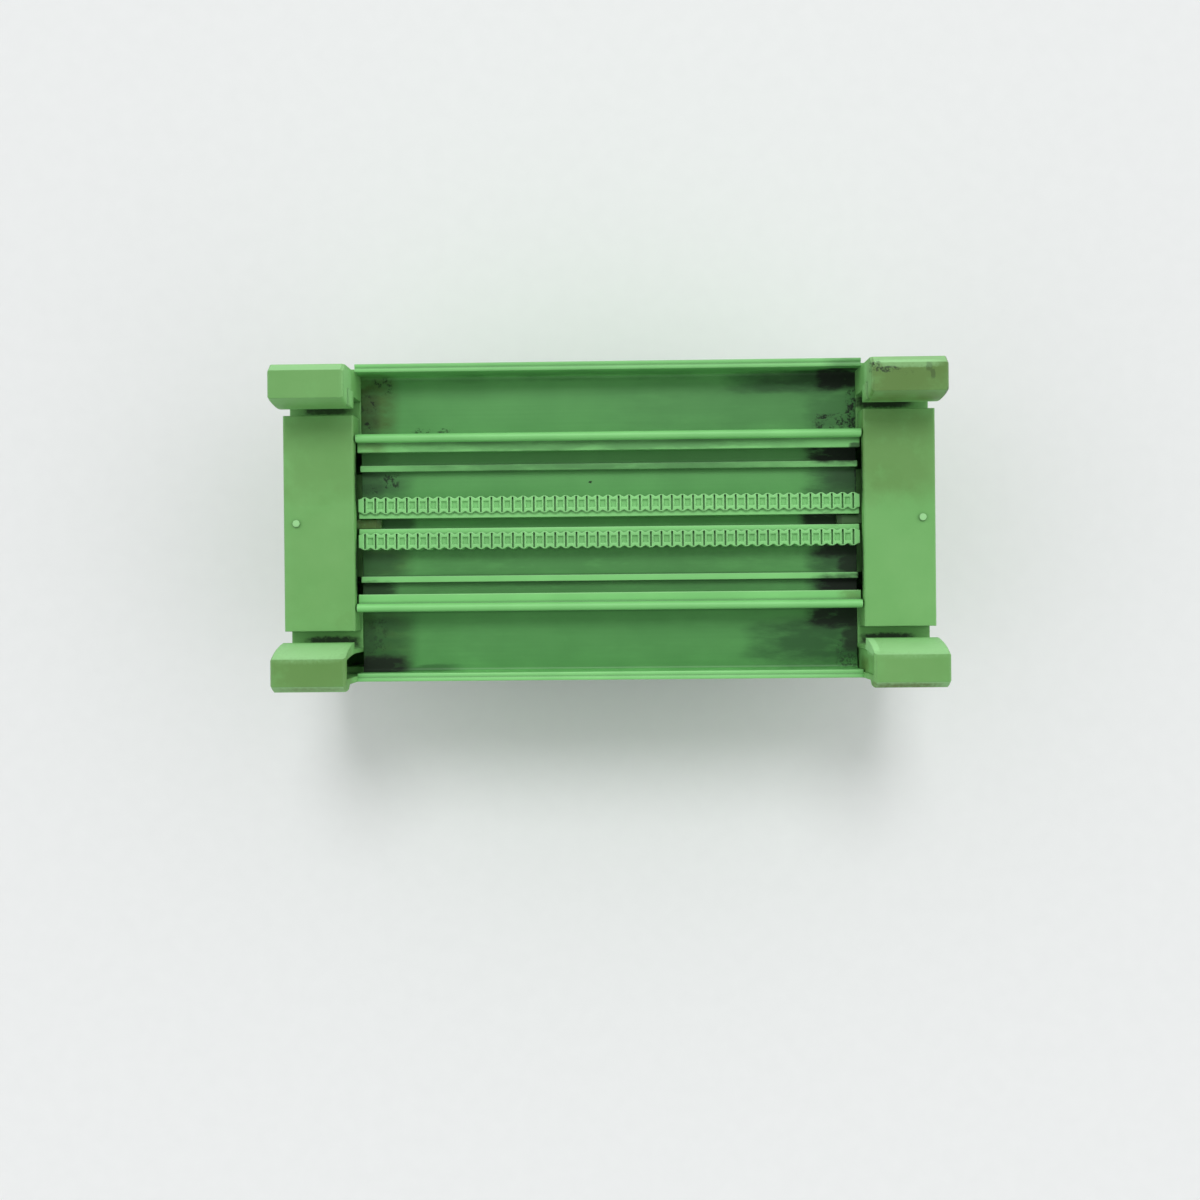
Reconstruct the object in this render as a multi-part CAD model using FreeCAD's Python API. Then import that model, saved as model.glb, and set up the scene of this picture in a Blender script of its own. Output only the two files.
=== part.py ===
"""Termination board on a rail carrier, lying face down with its rail side up.

Frame: +Z up (the rail side), X along the carrier, Y across it.  The origin is the middle of the
foot of the whole part's box, on the plane of the terminal tops that it rests on.  Millimetres.
"""
import FreeCAD, Part
import math
import os

# Rail that the part snaps on to
rail_width = 35.0
rail_brim = 1.0
rail_side_clearance = 0.3
brim_clearance = 0.6

# Extruded base profile
profile_length = 71.5
profile_width = 45.0
web_thickness = 1.8
rib_height = 4.1
flange_thickness = 1.14
flange_foot_radius = 0.5
flange_groove_width = 0.36
flange_groove_depth = 0.12
wall_thickness = 1.8
wall_foot = 1.6
bead_outer_half = 12.65
bead_width = 1.2
ledge_reach = 1.3
ledge_drop = 1.35
ledge_thickness = 0.8
thin_rib_half = 8.0
thin_rib_thickness = 0.86
thin_rib_height = 1.0

# Notched strips on both sides of the slot in the middle of the profile
slot_width = 1.5
strip_edge_width = 0.9
strip_height = 2.0
pad_width = 1.83
pad_height = 2.45
crest_reach = 0.28
crest_foot_half = 0.68
crest_tip_half = 0.2
notch_pitch = 1.515
notch_width = 0.26
notch_depth = 0.55
notch_end_wall = 0.12
notch_end_margin = 0.9
dimple_side_rim = 0.2
dimple_end_rim = 0.36
dimple_slope = 0.16
dimple_depth = 0.25

# Moulded side elements
side_length = 10.3
side_wall = 1.8
side_edge = 1.6
neck_step = 0.4
seat_width = 30.6
seat_cavity_width = 24.2
hook_height = 7.2
hook_edge_drop = 1.1
hook_end_chamfer = 0.3
fixed_lip_overlap = 1.55
fixed_crease_overlap = 0.95
fixed_outer_inset = 1.15
fixed_edge_width = 1.0
proud_lip_width = 2.3
proud_lip_reach = 0.2
proud_lip_drop = 2.8
snap_lip_overlap = 0.65
snap_crease_gap = 1.4
snap_outer_overhang = 0.95
snap_edge_width = 0.8
snap_rim_height = 2.2
snap_pocket_wall = 0.6
snap_pocket_outer_wall = 0.8
snap_pocket_roof = 1.0
snap_pocket_lean = 0.7
nose_bulge = 0.4
seat_inset = 0.27
seat_edge_chamfer = 0.2
gate_radius = 0.5
gate_height = 0.3
gate_inset = 1.85
tongue_reach = 2.95
tongue_height = 1.2
tongue_lead_in = 0.7
tongue_lead_drop = 0.5
shelf_width = 15.0
shelf_thickness = 1.5
shelf_reach = 5.0
fit_clearance = 0.1

# Circuit board
board_thickness = 1.6
solder_space = 5.4
groove_depth = 1.0
board_clearance = 0.1

# Screw terminals, in two rows along the long edges of the board
pole_pitch = 5.08
poles_per_block = 2
blocks_per_row = 5
block_gap = 0.1
terminal_height = 15.0
terminal_depth = 10.2
terminal_wall_gap = 0.3
terminal_shoulder = 10.5
terminal_shoulder_depth = 1.4
terminal_top_depth = 7.4
terminal_back_height = 9.0
well_width = 4.2
well_height = 5.8
well_floor = 4.6
well_depth = 7.0
screw_axis_depth = 4.1
screw_hole_radius = 1.75
screw_radius = 1.5
screw_thread_clearance = 0.05
screw_recess = 0.8
screw_length = 5.7
screw_slot_width = 0.7
screw_slot_depth = 1.0
contact_wall = 0.4
contact_thread_wall = 1.0
contact_length = 5.4
contact_front_gap = 1.4
contact_clearance = 0.1
tail_width = 1.0
tail_depth = 5.9
tail_reach = 2.0
tail_slot_clearance = 0.1
tail_hole_clearance = 0.1

# Flat-cable header between the rows
pin_pitch = 2.54
pin_columns = 10
pin_width = 0.64
pin_height = 8.0
pin_tail = 1.4
pin_hole_clearance = 0.04
pin_board_clearance = 0.1
header_length = 41.0
header_width = 9.2
header_height = 9.0
header_floor = 1.6
cavity_length = 28.0
cavity_width = 6.4
key_width = 4.5
key_floor = 3.0
latch_slot_width = 2.6
latch_slot_floor = 1.0
latch_side_clearance = 0.15
latch_pivot_height = 2.6
latch_pivot_inset = 3.5
latch_foot_radius = 1.2
latch_thickness = 2.0
latch_tip_height = 12.0
latch_nose_reach = 1.6
latch_nose_height = 1.4
latch_nose_slope = 0.8
latch_toe_reach = 3.8
latch_toe_thickness = 0.7
trunnion_radius = 0.6
trunnion_length = 1.0
trunnion_clearance = 0.05
trunnion_end_gap = 0.1

# Sides of the small rounds that repeat many times
small_round_sides = 8

# Levels above the resting plane, from the terminal tops up to the hooks
board_front = terminal_height
board_back = board_front + board_thickness
web_inner = board_back + solder_space
web_outer = web_inner + web_thickness
seat = web_outer + rib_height
neck = web_outer + neck_step
hook_top = seat + hook_height
lip_bottom = seat + rail_brim + brim_clearance
foot = board_front - wall_foot

# Shared half sizes
half_length = profile_length / 2
half_width = profile_width / 2
wall_inner = half_width - wall_thickness
slot_half = slot_width / 2
pad_inner = slot_half + strip_edge_width
pad_outer = pad_inner + pad_width
rail_half = rail_width / 2
arm_inner = rail_half + rail_side_clearance
row_outer = wall_inner - terminal_wall_gap
end_plane = half_length + side_length
fixed_lip = rail_half - fixed_lip_overlap
fixed_outer = half_width - fixed_outer_inset
snap_outer = half_width + snap_outer_overhang
middle_shift = snap_outer_overhang / 2


def vector(x, y, z):
    """Point or direction."""
    return FreeCAD.Vector(x, y, z)


def box(x_low, x_high, y_low, y_high, z_low, z_high):
    """Block between two corners."""
    size = (x_high - x_low, y_high - y_low, z_high - z_low)
    return Part.makeBox(*size, vector(x_low, y_low, z_low))


def outline(to_point, start, steps):
    """Closed face: each step is an end point, or a (through, end) pair for an arc."""
    edges = []
    here = to_point(*start)
    for step in list(steps) + [start]:
        if isinstance(step[0], tuple):
            through, end = (to_point(*pair) for pair in step)
            edges.append(Part.Arc(here, through, end).toShape())
        else:
            end = to_point(*step)
            edges.append(Part.makeLine(here, end))
        here = end
    return Part.Face(Part.Wire(edges))


def run_along_x(start, steps, x_low, x_high):
    """Solid of one (y, z) outline that runs along X."""
    face = outline(lambda y, z: vector(x_low, y, z), start, steps)
    return face.extrude(vector(x_high - x_low, 0, 0))


def run_along_y(start, steps, y_low, y_high):
    """Solid of one (x, z) outline that runs along Y."""
    face = outline(lambda x, z: vector(x, y_low, z), start, steps)
    return face.extrude(vector(0, y_high - y_low, 0))


def small_bore(radius, x, y, z_low, z_high):
    """Upright bore with few sides, which lets a screw of its radius through."""
    return small_bar(radius / math.cos(math.pi / small_round_sides), x, y, z_low, z_high)


def small_bar(radius, x, y, z_low, z_high):
    """Upright round bar with few sides."""
    turns = [2 * math.pi * i / small_round_sides for i in range(small_round_sides)]
    points = [(x + radius * math.cos(turn), y + radius * math.sin(turn)) for turn in turns]
    face = outline(lambda px, py: vector(px, py, z_low), points[0], points[1:])
    return face.extrude(vector(0, 0, z_high - z_low))


def mirror_y(shape):
    """Mirror image across the middle plane along the carrier."""
    return shape.mirror(vector(0, 0, 0), vector(0, 1, 0))


def join(shapes):
    """One solid from touching shapes, without seams between flush faces."""
    return shapes[0].fuse(shapes[1:]).removeSplitter()


def notch_positions():
    """Places of the notches along X, spread from the middle of the profile."""
    count = int((profile_length - 2 * notch_end_margin) / notch_pitch) + 1
    return [(i - (count - 1) / 2) * notch_pitch for i in range(count)]


def profile_half():
    """Half of the profile's section, run along X: web, ribs, bead, flange and board groove."""
    bead_inner = bead_outer_half - bead_width
    bead_middle = bead_outer_half - bead_width / 2
    bead_shoulder = seat - bead_width / 2
    ledge_edge = bead_inner - ledge_reach
    ledge_top = seat - ledge_drop
    ledge_bottom = ledge_top - ledge_thickness
    thin_inner = thin_rib_half - thin_rib_thickness / 2
    thin_outer = thin_rib_half + thin_rib_thickness / 2
    thin_top = web_outer + thin_rib_height
    flange_inner = half_width - flange_thickness
    flange_middle = half_width - flange_thickness / 2
    foot_turn = flange_foot_radius * (1 - math.sqrt(0.5))
    groove_outer = wall_inner + groove_depth
    groove_low = board_front - board_clearance
    groove_high = board_back + board_clearance
    steps = [
        (slot_half, web_outer),
        (slot_half, web_outer + strip_height),
        (pad_inner, web_outer + strip_height),
        (pad_inner, web_outer),
        (thin_inner, web_outer),
        (thin_inner, thin_top),
        (thin_outer, thin_top),
        (thin_outer, web_outer),
        (bead_inner, web_outer),
        (bead_inner, ledge_bottom),
        (ledge_edge, ledge_bottom),
        (ledge_edge, ledge_top),
        (bead_inner, ledge_top),
        (bead_inner, bead_shoulder),
        ((bead_middle, seat), (bead_outer_half, bead_shoulder)),
        (bead_outer_half, web_outer),
        (flange_inner - flange_foot_radius, web_outer),
        ((flange_inner - foot_turn, web_outer + foot_turn), (flange_inner, web_outer + flange_foot_radius)),
        (flange_inner, seat),
        (flange_middle - flange_groove_width / 2, seat),
        (flange_middle, seat - flange_groove_depth),
        (flange_middle + flange_groove_width / 2, seat),
        (half_width, seat),
        (half_width, foot),
        (wall_inner, foot),
        (wall_inner, groove_low),
        (groove_outer, groove_low),
        (groove_outer, groove_high),
        (wall_inner, groove_high),
        (wall_inner, web_inner),
        (0, web_inner),
    ]
    return run_along_x((0, web_outer), steps, -half_length, half_length)


def crest(x, edge, reach):
    """Outline steps, towards +X, of a crest that the notch tool pressed out of a pad's edge."""
    return [
        (x - crest_foot_half, edge),
        (x - crest_tip_half, edge + reach),
        (x + crest_tip_half, edge + reach),
        (x + crest_foot_half, edge),
    ]


def dimple(x, top):
    """Sunken middle of a pad between two notches, with sloping sides."""
    half = (notch_pitch - notch_width) / 2 - dimple_side_rim
    low = pad_inner + dimple_end_rim
    high = pad_outer - dimple_end_rim
    floor_x = (x - half + dimple_slope, x + half - dimple_slope)
    floor_y = (-high + dimple_slope, -low - dimple_slope)
    wedge = Part.makeWedge(
        floor_x[0], top - dimple_depth, floor_y[0], -high, x - half,
        floor_x[1], top, floor_y[1], -low, x + half,
    )
    wedge.rotate(vector(0, 0, 0), vector(1, 0, 0), 90)
    return wedge


def wavy_pad():
    """Pad of one strip, with crests along both of its edges."""
    notches = notch_positions()
    steps = []
    for x in notches:
        steps += crest(x, pad_inner, -crest_reach)
    steps += [(half_length, pad_inner), (half_length, pad_outer)]
    for x in reversed(notches):
        steps += reversed(crest(x, pad_outer, crest_reach))
    steps.append((-half_length, pad_outer))
    face = outline(lambda x, y: vector(x, y, web_outer), (-half_length, pad_inner), steps)
    return face.extrude(vector(0, 0, pad_height))


def pad_cuts():
    """Slot at every crest of a pad, and a dimple between each two slots."""
    notches = notch_positions()
    top = web_outer + pad_height
    low = pad_inner - crest_reach + notch_end_wall
    high = pad_outer + crest_reach - notch_end_wall
    half = notch_width / 2
    cuts = [box(x - half, x + half, low, high, top - notch_depth, top) for x in notches]
    return cuts + [dimple(x + notch_pitch / 2, top) for x in notches[:-1]]


def base_profile():
    """Extruded carrier with both notched strips."""
    half = join([profile_half(), wavy_pad()]).cut(pad_cuts())
    return join([half, mirror_y(half)])


def fixed_hook():
    """Outline steps of the rigid hook, from its outer foot round to the rail slot."""
    crease = rail_half - fixed_crease_overlap
    return [
        (fixed_outer, neck),
        (fixed_outer, hook_top - hook_edge_drop),
        (fixed_outer - fixed_edge_width, hook_top),
        (crease, hook_top),
        (nose_point(crease, fixed_lip), (fixed_lip, lip_bottom)),
        (arm_inner, lip_bottom),
        (arm_inner, neck),
    ]


def nose_point(crease, lip):
    """Middle of the rounded nose between a hook's top and its lip."""
    run = crease - lip
    drop = hook_top - lip_bottom
    chord = math.hypot(run, drop)
    across = (crease + lip) / 2 - nose_bulge * drop / chord
    height = (hook_top + lip_bottom) / 2 + nose_bulge * run / chord
    return across, height


def snap_hook():
    """Outline steps of the springing hook, from the rail slot round to its outer foot."""
    lip = rail_half - snap_lip_overlap
    crease = rail_half + snap_crease_gap
    rim_bottom = hook_top - snap_rim_height
    through_y, through_z = nose_point(crease, lip)
    return [
        (-arm_inner, neck),
        (-arm_inner, lip_bottom),
        (-lip, lip_bottom),
        ((-through_y, through_z), (-crease, hook_top)),
        (-snap_outer + snap_edge_width, hook_top),
        (-snap_outer, hook_top - hook_edge_drop),
        (-snap_outer, rim_bottom),
        (-half_width, rim_bottom - snap_outer_overhang),
        (-half_width, neck),
    ]


def side_body():
    """Moulding of one side element without its hollows: one outline run along X, with softened ends."""
    seat_half = seat_width / 2
    steps = [(half_width, foot), (half_width, neck)]
    steps += fixed_hook()
    steps += [(seat_half, neck), (seat_half, seat), (-seat_half, seat), (-seat_half, neck)]
    steps += snap_hook()
    body = run_along_x((-half_width, foot), steps, half_length, end_plane)
    body = body.cut(box(half_length, half_length + seat_inset, -seat_half, seat_half, neck, seat))
    hook_ends = []
    seat_ends = []
    for edge in body.Edges:
        middle = edge.CenterOfMass
        if middle.z > lip_bottom and not half_length < middle.x < end_plane:
            hook_ends.append(edge)
        elif edge.BoundBox.ZMin > seat - fit_clearance and abs(middle.y) < fit_clearance:
            seat_ends.append(edge)
    return body.makeChamfer(hook_end_chamfer, hook_ends).makeChamfer(seat_edge_chamfer, seat_ends)


def snap_pocket(inner_end):
    """Hollow behind the springing hook, which follows the curve of its nose."""
    outer = -half_width + snap_pocket_outer_wall
    inner = -arm_inner - snap_pocket_wall
    floor = web_outer - side_edge
    roof = hook_top - snap_pocket_roof
    turn = (inner - snap_pocket_lean / 4, (seat + roof) / 2)
    steps = [(inner, floor), (inner, seat), (turn, (inner - snap_pocket_lean, roof)), (outer, roof)]
    return run_along_x((outer, floor), steps, half_length, inner_end)


def side_hollows():
    """Hollows of one side element, all open towards the profile."""
    inner_end = end_plane - side_wall
    hollow_top = web_outer - side_edge
    body = box(half_length, inner_end, -wall_inner, wall_inner, foot + side_edge, hollow_top)
    seat_half = seat_cavity_width / 2
    under_seat = box(half_length, inner_end, -seat_half, seat_half, hollow_top, seat - side_edge)
    return [body, under_seat, snap_pocket(inner_end)]


def tongue():
    """Tongue that enters the profile's slot, with a lead-in on its end."""
    half = slot_half - fit_clearance
    tip = half_length - tongue_reach
    low = web_outer + fit_clearance
    high = web_outer + tongue_height
    root = end_plane - side_wall
    steps = [(tip, high - tongue_lead_drop), (tip + tongue_lead_in, high), (root, high), (root, low)]
    return run_along_y((tip, low), steps, -half, half)


def side_element():
    """Right side element; the left one is its mirror image."""
    body = side_body().cut(side_hollows())
    proud_x = half_length - proud_lip_reach
    proud_root = half_length + hook_end_chamfer
    proud_top = hook_top - proud_lip_drop
    proud_lip = box(proud_x, proud_root, fixed_lip, fixed_lip + proud_lip_width, lip_bottom, proud_top)
    gate = Part.makeCylinder(gate_radius, gate_height, vector(end_plane - gate_inset, 0, seat))
    shelf_half = shelf_width / 2
    shelf_high = web_inner - fit_clearance
    shelf_low = shelf_high - shelf_thickness
    inner_end = end_plane - side_wall
    shelf = box(half_length - shelf_reach, inner_end, -shelf_half, shelf_half, shelf_low, shelf_high)
    return join([body, proud_lip, gate, tongue(), shelf])


def on_board(shape):
    """Turn a piece that was drawn standing on the board over to hang under the board's front."""
    turned = shape.copy()
    turned.rotate(vector(0, 0, 0), vector(1, 0, 0), 180)
    turned.translate(vector(0, 0, board_front))
    return turned


def half_turn(shape):
    """The same piece in the opposite row."""
    turned = shape.copy()
    turned.rotate(vector(0, 0, 0), vector(0, 0, 1), 180)
    return turned


def pole_places():
    """Middles of the poles along a row."""
    count = poles_per_block * blocks_per_row
    return [(i - (count - 1) / 2) * pole_pitch for i in range(count)]


def row_depth(depth):
    """Place across the board, counted from the wire side of a row."""
    return row_outer - depth


def terminal_block(first_pole):
    """Housing of one terminal block: wire wells in front, screw holes on top, tail slots below."""
    width = poles_per_block * pole_pitch - block_gap
    x_low = first_pole - pole_pitch / 2 + block_gap / 2
    steps = [
        (row_depth(0), terminal_shoulder),
        (row_depth(terminal_shoulder_depth), terminal_height),
        (row_depth(terminal_top_depth), terminal_height),
        (row_depth(terminal_depth), terminal_back_height),
        (row_depth(terminal_depth), 0),
    ]
    housing = run_along_x((row_depth(0), 0), steps, x_low, x_low + width)
    cuts = []
    for i in range(poles_per_block):
        x = first_pole + i * pole_pitch
        cuts.append(wire_well(x))
        cuts.append(small_bore(screw_hole_radius, x, row_depth(screw_axis_depth), well_floor, terminal_height))
        cuts.append(tail_bar(x, tail_slot_clearance, 0, well_floor))
    return housing.cut(cuts)


def wire_well(x):
    """Opening of one pole for the wire and its clamp."""
    half = well_width / 2
    return box(x - half, x + half, row_depth(well_depth), row_depth(0), well_floor, well_floor + well_height)


def tail_bar(x, clearance, low, high):
    """Square bar of a solder tail, or of its slot."""
    half = tail_width / 2 + clearance
    y = row_depth(tail_depth)
    return box(x - half, x + half, y - half, y + half, low, high)


def terminal_contact(x):
    """Stamped clamp body with its threaded top and its solder tail."""
    half = well_width / 2 - contact_clearance
    y_high = row_depth(contact_front_gap)
    y_low = y_high - contact_length
    low = well_floor + contact_clearance
    high = well_floor + well_height - contact_clearance
    body = box(x - half, x + half, y_low, y_high, low, high)
    inner = half - contact_wall
    thread_low = high - contact_thread_wall
    window = box(x - inner, x + inner, y_low, y_high, low + contact_wall, thread_low)
    thread_radius = screw_radius + screw_thread_clearance
    thread = small_bore(thread_radius, x, row_depth(screw_axis_depth), thread_low, high)
    tail = tail_bar(x, 0, -board_thickness - tail_reach, low)
    return join([body.cut([window, thread]), tail])


def clamp_screw(x):
    """Slotted clamp screw."""
    top = terminal_height - screw_recess
    y = row_depth(screw_axis_depth)
    shank = small_bar(screw_radius, x, y, top - screw_length, top)
    half = screw_slot_width / 2
    slot = box(x - screw_radius, x + screw_radius, y - half, y + half, top - screw_slot_depth, top)
    return shank.cut(slot)


def header_pin_places():
    """Centres of the header's pins."""
    columns = [(i - (pin_columns - 1) / 2) * pin_pitch for i in range(pin_columns)]
    return [(x, side * pin_pitch / 2) for side in (-1, 1) for x in columns]


def pin_bar(x, y, clearance, low, high):
    """Square bar of one header pin, or of its hole."""
    half = pin_width / 2 + clearance
    return box(x - half, x + half, y - half, y + half, low, high)


def latch_pivot_x():
    """Distance of a latch's pivot from the middle of the header."""
    return header_length / 2 - latch_pivot_inset


def trunnion():
    """Round bar along the right latch's pivot axis, out of both of its sides."""
    reach = latch_slot_width / 2 + trunnion_length
    base = vector(latch_pivot_x(), -reach, latch_pivot_height)
    return Part.makeCylinder(trunnion_radius, 2 * reach, base, vector(0, 1, 0))


def bearing():
    """Blind bores for the trunnions of the right latch."""
    reach = latch_slot_width / 2 + trunnion_length + trunnion_end_gap
    bore = small_bore(trunnion_radius + trunnion_clearance, 0, 0, -reach, reach)
    bore.rotate(vector(0, 0, 0), vector(1, 0, 0), 90)
    bore.translate(vector(latch_pivot_x(), 0, latch_pivot_height))
    return bore


def header_shell():
    """Box header: cable cavity, polarising notch and a slotted cheek block at each end."""
    half = header_length / 2
    wide = header_width / 2
    shell = box(-half, half, -wide, wide, 0, header_height)
    cavity_half = cavity_length / 2
    cavity_wide = cavity_width / 2
    cavity = box(-cavity_half, cavity_half, -cavity_wide, cavity_wide, header_floor, header_height)
    key = box(-key_width / 2, key_width / 2, 0, wide, key_floor, header_height)
    cuts = [cavity, key]
    slot_wide = latch_slot_width / 2
    slot = box(cavity_half, half, -slot_wide, slot_wide, latch_slot_floor, header_height)
    for cut in (slot, bearing()):
        cuts.append(cut)
        cuts.append(half_turn(cut))
    for x, y in header_pin_places():
        cuts.append(pin_bar(x, y, pin_hole_clearance, 0, header_floor))
    return shell.cut(cuts)


def header_pin(x, y):
    """One contact pin, through the header's floor and the board."""
    return pin_bar(x, y, 0, -board_thickness - pin_tail, pin_height)


def latch():
    """Right ejector latch: lever with a holding nose, an ejecting toe and two trunnions."""
    pivot = latch_pivot_x()
    half = latch_thickness / 2
    toe_low = latch_pivot_height - latch_foot_radius + latch_toe_thickness / 2
    toe_high = toe_low + latch_toe_thickness
    nose_x = pivot - half - latch_nose_reach
    nose_low = latch_tip_height - latch_nose_height
    foot_half = latch_foot_radius
    wide = latch_slot_width / 2 - latch_side_clearance
    steps = [
        (pivot - foot_half, toe_low),
        ((pivot, latch_pivot_height - latch_foot_radius), (pivot + foot_half, latch_pivot_height)),
        (pivot + half, latch_pivot_height + foot_half),
        (pivot + half, latch_tip_height),
        (pivot - half, latch_tip_height),
        (nose_x, latch_tip_height - latch_nose_slope),
        (nose_x, nose_low),
        (pivot - half, nose_low),
        (pivot - half, toe_high),
        (pivot - latch_toe_reach, toe_high),
    ]
    lever = run_along_y((pivot - latch_toe_reach, toe_low), steps, -wide, wide)
    return join([lever, trunnion()])


def circuit_board():
    """Board that slides in the profile's grooves, drilled for every tail and pin."""
    half = half_length - fit_clearance
    wide = wall_inner + groove_depth - board_clearance
    board = box(-half, half, -wide, wide, -board_thickness, 0)
    holes = []
    for x in pole_places():
        hole = tail_bar(x, tail_hole_clearance, -board_thickness, 0)
        holes += [hole, half_turn(hole)]
    for x, y in header_pin_places():
        holes.append(pin_bar(x, y, pin_board_clearance, -board_thickness, 0))
    return board.cut(holes)


def export(name, shape):
    """Write one node, moved so that the whole part's box stands centred on the origin."""
    placed = shape.copy()
    placed.translate(vector(0, middle_shift, 0))
    placed.exportStep("parts/" + name + ".step")


def export_row(row, place):
    """Write one row of terminals: housings one by one, contacts and screws as groups."""
    poles = pole_places()
    for i in range(blocks_per_row):
        block = terminal_block(poles[i * poles_per_block])
        export("terminal_block_" + row + str(i + 1), place(block))
    export("terminal_contacts_row_" + row, place(Part.makeCompound([terminal_contact(x) for x in poles])))
    export("clamp_screws_row_" + row, place(Part.makeCompound([clamp_screw(x) for x in poles])))


def main():
    """Build and write every node."""
    os.makedirs("parts", exist_ok=True)
    right = side_element()
    export("base_profile", base_profile())
    export("right_side_element", right)
    export("left_side_element", right.mirror(vector(0, 0, 0), vector(1, 0, 0)))
    export("circuit_board", on_board(circuit_board()))
    export_row("a", lambda shape: on_board(half_turn(shape)))
    export_row("b", on_board)
    export("header_shell", on_board(header_shell()))
    export("header_pins", on_board(Part.makeCompound([header_pin(x, y) for x, y in header_pin_places()])))
    export("latch_right", on_board(latch()))
    export("latch_left", on_board(half_turn(latch())))


main()
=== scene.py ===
"""Looks of a termination board that lies face down, with its rail side up.

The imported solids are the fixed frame.  Each operator dresses one group of them, and the last one
sets the floor, the light and the camera.  Metres, in the frame of the solids.
"""
from collections import namedtuple
from math import pi, radians

import bmesh
import bpy
from mathutils import Euler, Matrix, Vector


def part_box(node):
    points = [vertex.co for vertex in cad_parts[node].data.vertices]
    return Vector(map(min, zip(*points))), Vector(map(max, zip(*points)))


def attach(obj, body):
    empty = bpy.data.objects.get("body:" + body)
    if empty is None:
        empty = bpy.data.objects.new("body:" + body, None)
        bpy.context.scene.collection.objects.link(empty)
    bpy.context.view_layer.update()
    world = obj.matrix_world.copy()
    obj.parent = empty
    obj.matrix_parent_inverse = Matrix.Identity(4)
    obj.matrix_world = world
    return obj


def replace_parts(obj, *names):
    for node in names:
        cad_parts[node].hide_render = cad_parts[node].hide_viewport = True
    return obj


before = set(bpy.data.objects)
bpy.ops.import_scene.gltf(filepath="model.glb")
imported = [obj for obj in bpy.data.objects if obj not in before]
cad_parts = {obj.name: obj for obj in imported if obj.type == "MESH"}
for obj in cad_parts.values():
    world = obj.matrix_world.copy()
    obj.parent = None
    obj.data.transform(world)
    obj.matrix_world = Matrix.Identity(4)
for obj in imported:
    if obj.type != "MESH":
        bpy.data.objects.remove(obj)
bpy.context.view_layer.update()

bl_info = {
    "name": "Termination board looks",
    "version": (1, 0, 0),
    "blender": (4, 5, 0),
    "location": "View3D > Sidebar > Termination board",
    "description": "Dresses the solids of a termination board and sets its stage",
    "category": "Object",
}

MM = 0.001

# Heights in millimetres on the profile: its channel floors, where dust ends above them, the feet of its
# notches, its notched pads and its rims
FLOOR_HEIGHT = 23.8
DUST_HEIGHT = 24.6
# Above this height the pads' pale wear also covers the notches' walls, where it is painted light that lifts
# their shade
NOTCH_HEIGHT = 25.2
PAD_HEIGHT = 25.7
RIM_HEIGHT = 27.4
# How far from the middle the notched pads reach, in millimetres
PAD_REACH = 5.0

# Shares of pale plastic on the profile's edges (wear and painted highlight), pads (wear) and raised tops
# that face up (painted sheen), of dust on its floors, and of dirt and painted shade in its corners and
# between its pads
EDGE_WEAR_AND_HIGHLIGHT = 0.6
PAD_WEAR = 0.12
TOP_SHEEN = 0.22
FLOOR_DUST = 0.46
CORNER_DIRT_AND_SHADE = 0.7
PAD_DIRT_AND_SHADE = 0.35
# Shares of pale plastic on the side elements' edges (wear and painted highlight) and of painted sheen on
# their faces that slope towards the near and far sides, and of dirt and painted shade in their corners
SIDE_EDGE_WEAR_AND_HIGHLIGHT = 0.2
SLOPE_SHEEN = 2.0
SIDE_DIRT_AND_SHADE = 0.5
# Where an edge's wear and painted highlight start and are full, as the cosine of how far the light turns
# there
EDGE_START = 0.99
EDGE_FULL = 0.75
# How much of the sky a corner sees where its dirt and painted shade start and are full
CORNER_START = 0.92
CORNER_FULL = 0.5
# Levels of noise where specks start and are full, and between which the tones of plastic lie
SPECK_START = 0.49
SPECK_FULL = 0.57
CLOUD_START = 0.3
CLOUD_FULL = 0.7
# Widths of the drawn lines along the profile and of the mouldings' eroded grain, in millimetres: the real
# ones are finer, and these are as coarse as they need to be to show
LINE_WIDTH = 0.35
SIDE_GRAIN = 0.25
PLAIN_GRAIN = 0.2
# How many times longer than wide the lines are, and their share in the profile's tone
LINE_STRETCH = 50.0
LINE_SHARE = 0.35
# Depth of a moulded or drawn skin, and how far light rounds plain edges, in millimetres
SKIN_DEPTH = 0.02
PLAIN_EDGE = 0.1
# Gloss of dirty and worn plastic, and how much duller tarnish makes metal
GRIME_ROUGHNESS = 0.75
WORN_SPECULAR = 0.35
TARNISH = 0.2

# Screw terminals in millimetres: points of a housing's section, from its wire side and from the board
HOUSING_SECTION = ((0.0, 0.0), (0.0, 10.5), (1.4, 15.0), (7.4, 15.0), (10.2, 9.0), (10.2, 0.0))
HOUSING_EDGE = 0.25
# Edges within this height of the board stay sharp
HOUSING_FOOT = 1.0
ROWS = ("a", "b")
POLE_PITCH = 5.08
POLES = 2
WELL_WIDTH = 4.2
WELL_HEIGHTS = (4.6, 10.4)
WELL_DEPTH = 7.0
WELL_FLARE = 0.3
HOLE_RADIUS = 1.75
HOLE_FLARE = 0.3
SCREW_DEPTH = 4.1
SCREW_RADIUS = 1.5
SCREW_EDGE = 0.2
SCREW_RECESS = 0.8
SCREW_LENGTH = 5.7
SLOT_WIDTH = 0.7
SLOT_DEPTH = 1.0
ROUND_STEPS = 24
# How far a cutter stands out of what it cuts, in millimetres
CUT_MARGIN = 0.2

# Copper tracks across the circuit board, in millimetres
TRACK_PITCH = 2.54
TRACK_WIDTH = 0.9
TRACK_EDGE = 0.12
TRACK_HEIGHT = 0.04

# Web that closes the pocket behind the right springing hook, in millimetres: across and up
POCKET_SECTION = ((-21.3, 22.1), (-17.8, 22.1), (-17.8, 27.9), (-18.5, 34.2), (-21.3, 34.2))
POCKET_WEB = 0.8
POCKET_DEPTH = 0.25

# A stain: its middle and its reach along each axis in millimetres, and how dark it is
Stain = namedtuple("Stain", "middle reach strength")
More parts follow.
